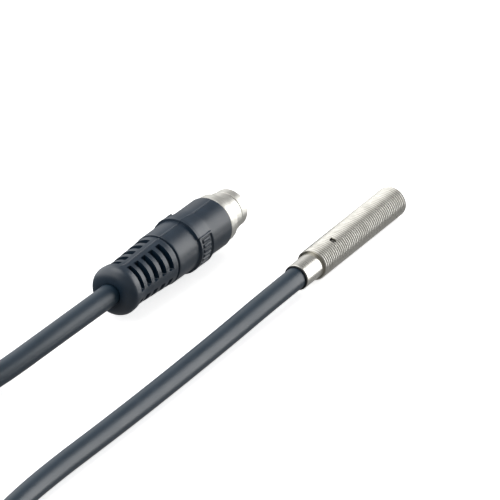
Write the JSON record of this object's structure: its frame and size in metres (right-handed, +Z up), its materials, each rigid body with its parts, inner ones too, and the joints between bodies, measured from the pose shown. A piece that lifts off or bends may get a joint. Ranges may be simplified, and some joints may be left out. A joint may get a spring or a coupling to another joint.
{
  "type": "inductive proximity sensor",
  "caption": "Miniature threaded cylindrical proximity sensor with an indicator window, a short cable and a moulded round snap-in plug with a slotted bend relief.",
  "frame": {"origin": "centre of the sensing face, on the barrel's axis", "axes": "+X is the sensing direction, out of the face along the barrel's axis; +Z is up, with the barrel, plug and cable lying on a table at z = -2.5 mm; the cable leaves towards -X and the plug lies beside it at +Y"},
  "size_m": [0.1512, 0.0423, 0.0092],
  "materials": {
    "barrel_metal": "bright turned thread, polished sleeve",
    "face_plastic": "smooth, slightly matt",
    "ferrite": "sintered, matt",
    "bobbin_plastic": "thin moulded",
    "winding_copper": "enamelled",
    "board_laminate": "green solder mask",
    "chip_body": "moulded, matt",
    "chip_ceramic": "fired ceramic with tinned ends",
    "lamp_lens": "clear yellow",
    "light_guide": "smoked, polished",
    "solder": "bright solder",
    "potting_resin": "cast, glossy",
    "seal_rubber": "soft, dark",
    "wire_brown": "smooth",
    "wire_blue": "smooth",
    "wire_black": "smooth",
    "cable_sheath": "satin, slate grey",
    "grip_mould": "fine matt moulding",
    "ferrule_metal": "crimped, plain",
    "core_plastic": "moulded",
    "carrier_plastic": "moulded insulator",
    "shell_metal": "nickel plated, bright",
    "contact_gold": "gold plated"
  },
  "bodies": {
    "root": {"board_passives": "chip_ceramic", "cable": "cable_sheath", "cable_seal": "seal_rubber", "circuit_board": "board_laminate", "coil_bobbin": "bobbin_plastic", "coil_leads": "winding_copper", "coil_winding": "winding_copper", "contact_carrier": "carrier_plastic", "contact_pin_1": "contact_gold", "contact_pin_3": "contact_gold", "contact_pin_4": "contact_gold", "crimp_ferrule": "ferrule_metal", "ferrite_core": "ferrite", "indicator_led": "lamp_lens", "led_light_guide": "light_guide", "oscillator_chip": "chip_body", "output_chip": "chip_body", "plug_core": "core_plastic", "plug_grip": "grip_mould", "plug_shell": "shell_metal", "plug_wire_black": "wire_black", "plug_wire_blue": "wire_blue", "plug_wire_brown": "wire_brown", "rear_potting": "potting_resin", "sensing_face_cap": "face_plastic", "solder_joints": "solder", "threaded_barrel": "barrel_metal", "wire_black": "wire_black", "wire_blue": "wire_blue", "wire_brown": "wire_brown"}
  },
  "joints": []
}
